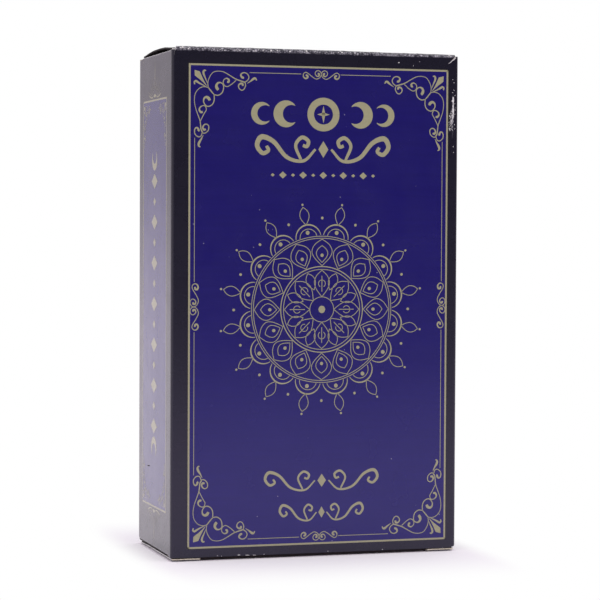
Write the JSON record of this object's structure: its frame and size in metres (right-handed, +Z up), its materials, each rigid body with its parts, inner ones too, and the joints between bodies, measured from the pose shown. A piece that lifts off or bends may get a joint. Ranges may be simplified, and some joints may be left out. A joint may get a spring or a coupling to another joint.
{
  "type": "boxed card deck",
  "caption": "Deck of tall fortune-telling cards in a printed tuck-end carton with hinged lids, tuck tabs and dust flaps at both ends.",
  "frame": {"origin": "centre of the carton's foot, on the plane it stands on", "axes": "+X to the carton's right as seen from the front, -Y out of the front panel, +Z up along the cards' long side"},
  "size_m": [0.074, 0.035, 0.1253],
  "materials": {
    "printed_board": "gloss",
    "card_stock": "satin"
  },
  "bodies": {
    "carton": {"carton_sleeve": "printed_board"},
    "top_lid": {"top_lid": "printed_board"},
    "top_tuck_tab": {"top_tuck_tab": "printed_board"},
    "top_left_flap": {"top_left_dust_flap": "printed_board"},
    "top_right_flap": {"top_right_dust_flap": "printed_board"},
    "bottom_lid": {"bottom_lid": "printed_board"},
    "bottom_tuck_tab": {"bottom_tuck_tab": "printed_board"},
    "bottom_left_flap": {"bottom_left_dust_flap": "printed_board"},
    "bottom_right_flap": {"bottom_right_dust_flap": "printed_board"},
    "deck": {"major_card_01": "card_stock", "major_card_02": "card_stock", "major_card_03": "card_stock", "major_card_04": "card_stock", "major_card_05": "card_stock", "major_card_06": "card_stock", "major_card_07": "card_stock", "major_card_08": "card_stock", "major_card_09": "card_stock", "major_card_10": "card_stock", "major_card_11": "card_stock", "major_card_12": "card_stock", "major_card_13": "card_stock", "major_card_14": "card_stock", "major_card_15": "card_stock", "major_card_16": "card_stock", "major_card_17": "card_stock", "major_card_18": "card_stock", "major_card_19": "card_stock", "major_card_20": "card_stock", "major_card_21": "card_stock", "major_card_22": "card_stock", "wands_pair_1": "card_stock", "wands_pair_2": "card_stock", "wands_pair_3": "card_stock", "wands_pair_4": "card_stock", "wands_pair_5": "card_stock", "wands_pair_6": "card_stock", "wands_pair_7": "card_stock", "cups_pair_1": "card_stock", "cups_pair_2": "card_stock", "cups_pair_3": "card_stock", "cups_pair_4": "card_stock", "cups_pair_5": "card_stock", "cups_pair_6": "card_stock", "cups_pair_7": "card_stock", "swords_pair_1": "card_stock", "swords_pair_2": "card_stock", "swords_pair_3": "card_stock", "swords_pair_4": "card_stock", "swords_pair_5": "card_stock", "swords_pair_6": "card_stock", "swords_pair_7": "card_stock", "coins_pair_1": "card_stock", "coins_pair_2": "card_stock", "coins_pair_3": "card_stock", "coins_pair_4": "card_stock", "coins_pair_5": "card_stock", "coins_pair_6": "card_stock", "coins_pair_7": "card_stock"}
  },
  "joints": [
    {"name": "top_lid_crease", "type": "hinge", "parent": "carton", "child": "top_lid", "pos_m": [0, -0.0169, 0.1247], "axis": [1, 0, 0], "range_deg": [0, 130]},
    {"name": "top_tuck_crease", "type": "hinge", "parent": "top_lid", "child": "top_tuck_tab", "pos_m": [0, 0.0155, 0.1247], "axis": [1, 0, 0], "range_deg": [-91, 0]},
    {"name": "top_left_flap_crease", "type": "hinge", "parent": "carton", "child": "top_left_flap", "pos_m": [-0.0364, 0, 0.1239], "axis": [0, -1, 0], "range_deg": [0, 45.5]},
    {"name": "top_right_flap_crease", "type": "hinge", "parent": "carton", "child": "top_right_flap", "pos_m": [0.0364, 0, 0.1239], "axis": [0, 1, 0], "range_deg": [0, 45.5]},
    {"name": "bottom_lid_crease", "type": "hinge", "parent": "carton", "child": "bottom_lid", "pos_m": [0, 0.0169, 0.0006], "axis": [1, 0, 0], "range_deg": [0, 130]},
    {"name": "bottom_tuck_crease", "type": "hinge", "parent": "bottom_lid", "child": "bottom_tuck_tab", "pos_m": [0, -0.01605, 0.0006], "axis": [1, 0, 0], "range_deg": [-91, 0]},
    {"name": "bottom_left_flap_crease", "type": "hinge", "parent": "carton", "child": "bottom_left_flap", "pos_m": [-0.0364, 0, 0.0014], "axis": [0, 1, 0], "range_deg": [0, 45.5]},
    {"name": "bottom_right_flap_crease", "type": "hinge", "parent": "carton", "child": "bottom_right_flap", "pos_m": [0.0364, 0, 0.0014], "axis": [0, -1, 0], "range_deg": [0, 45.5]},
    {"name": "deck_slide", "type": "slide", "parent": "carton", "child": "deck", "axis": [0, 0, 1], "range_m": [0, 0.0025]}
  ],
  "couplings": [
    {"joint": "top_tuck_crease", "follows": "top_lid_crease", "ratio": -0.7},
    {"joint": "top_left_flap_crease", "follows": "top_lid_crease", "ratio": 0.35},
    {"joint": "top_right_flap_crease", "follows": "top_lid_crease", "ratio": 0.35},
    {"joint": "bottom_tuck_crease", "follows": "bottom_lid_crease", "ratio": -0.7},
    {"joint": "bottom_left_flap_crease", "follows": "bottom_lid_crease", "ratio": 0.35},
    {"joint": "bottom_right_flap_crease", "follows": "bottom_lid_crease", "ratio": 0.35}
  ]
}
